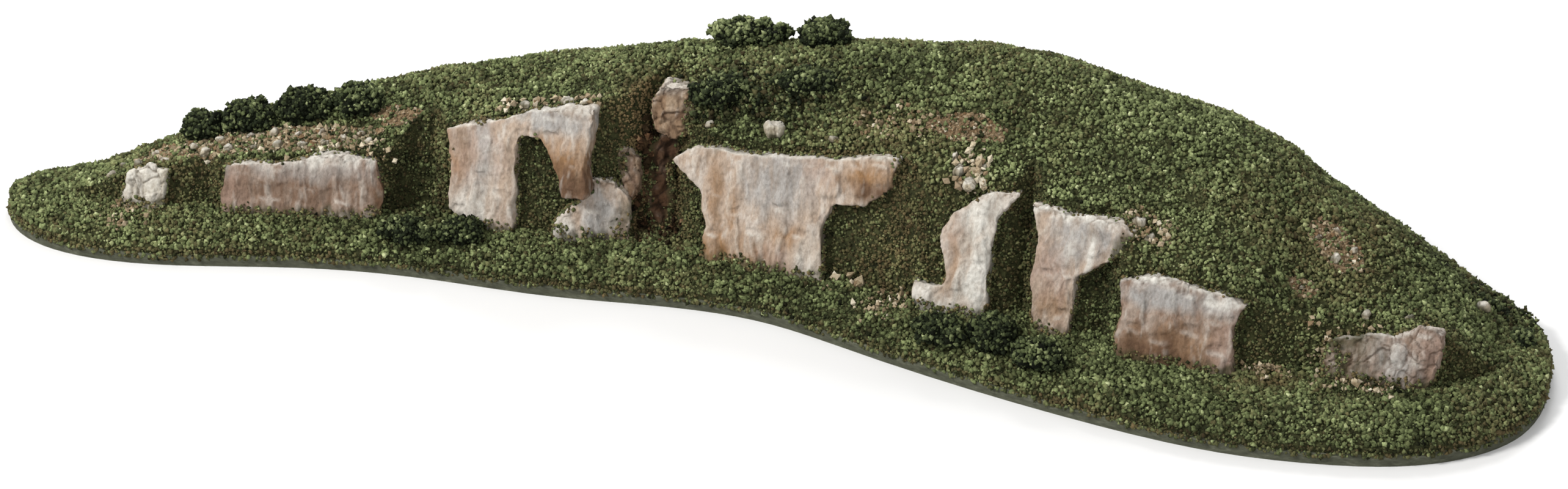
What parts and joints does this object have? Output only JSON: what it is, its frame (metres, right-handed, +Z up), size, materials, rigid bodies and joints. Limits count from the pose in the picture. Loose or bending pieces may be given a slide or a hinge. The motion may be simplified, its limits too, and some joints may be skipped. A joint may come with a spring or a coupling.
{
  "type": "rocky hill terrain piece",
  "caption": "Free-standing tabletop terrain hill: a turfed crescent ridge on a thin board, with a row of cast rock faces, bare soil, loose stones and bushes along its front.",
  "frame": {"origin": "Centre of the board's underside, on the table.", "axes": "+X runs from the low tip to the high right end, -Y is the front with the rock faces, +Z is up."},
  "size_m": [0.4001, 0.1486, 0.0565],
  "materials": {
    "board": "dark hardboard with a painted edge",
    "foam_core": "pale foam sheet",
    "foliage_dark": "dark green clump foliage",
    "foliage_mid": "mid green clump foliage",
    "gravel": "tan grit",
    "plaster": "earth-painted plaster",
    "red_rock": "dark red-brown cast rock",
    "rock": "cast rock, dry-brushed white over pink and ochre washes",
    "rubble": "pale broken grit",
    "soil": "red-tan bare soil",
    "stones": "pale broken stone",
    "turf": "ground-foam turf in mixed greens",
    "turf_low": "brighter, coarser ground-foam turf"
  },
  "bodies": {
    "root": {"base_board": "board", "foam_sheet_1": "foam_core", "foam_sheet_2": "foam_core", "foam_sheet_3": "foam_core", "foam_sheet_4": "foam_core", "foliage_crest_dark": "foliage_dark", "foliage_crest_light": "foliage_mid", "foliage_hillside_left": "foliage_dark", "foliage_hillside_right": "foliage_dark", "foliage_hook_foot": "foliage_mid", "foliage_left_crest_1": "foliage_dark", "foliage_left_crest_2": "foliage_dark", "foliage_left_crest_3": "foliage_dark", "foliage_left_crest_4": "foliage_dark", "foliage_left_foot_1": "foliage_dark", "foliage_left_foot_2": "foliage_dark", "foliage_notch_foot": "foliage_mid", "foliage_right_edge_1": "foliage_dark", "foliage_right_edge_2": "foliage_dark", "foliage_tapered_foot": "foliage_mid", "gravel_patch_right": "gravel", "gravel_patch_small": "gravel", "ledge_rubble_bed": "rubble", "plaster_low_ground": "plaster", "plaster_shell": "plaster", "rock_end_crag": "rock", "rock_gully_head": "red_rock", "rock_gully_scree": "red_rock", "rock_gully_stub": "red_rock", "rock_hook_face": "rock", "rock_left_ledge": "rock", "rock_left_lobe": "rock", "rock_left_pillar": "rock", "rock_low_face": "rock", "rock_low_tip": "rock", "rock_main_face": "rock", "rock_tapered_face": "rock", "soil_patch_centre": "soil", "soil_patch_left": "soil", "stones_hook_top": "stones", "stones_left_ledge": "stones", "stones_low_tip": "stones", "stones_main_top": "stones", "stones_pillar_top": "stones", "stones_right_slope": "stones", "stones_tapered_side": "stones", "turf_high_ground": "turf", "turf_low_ground": "turf_low"}
  },
  "joints": []
}
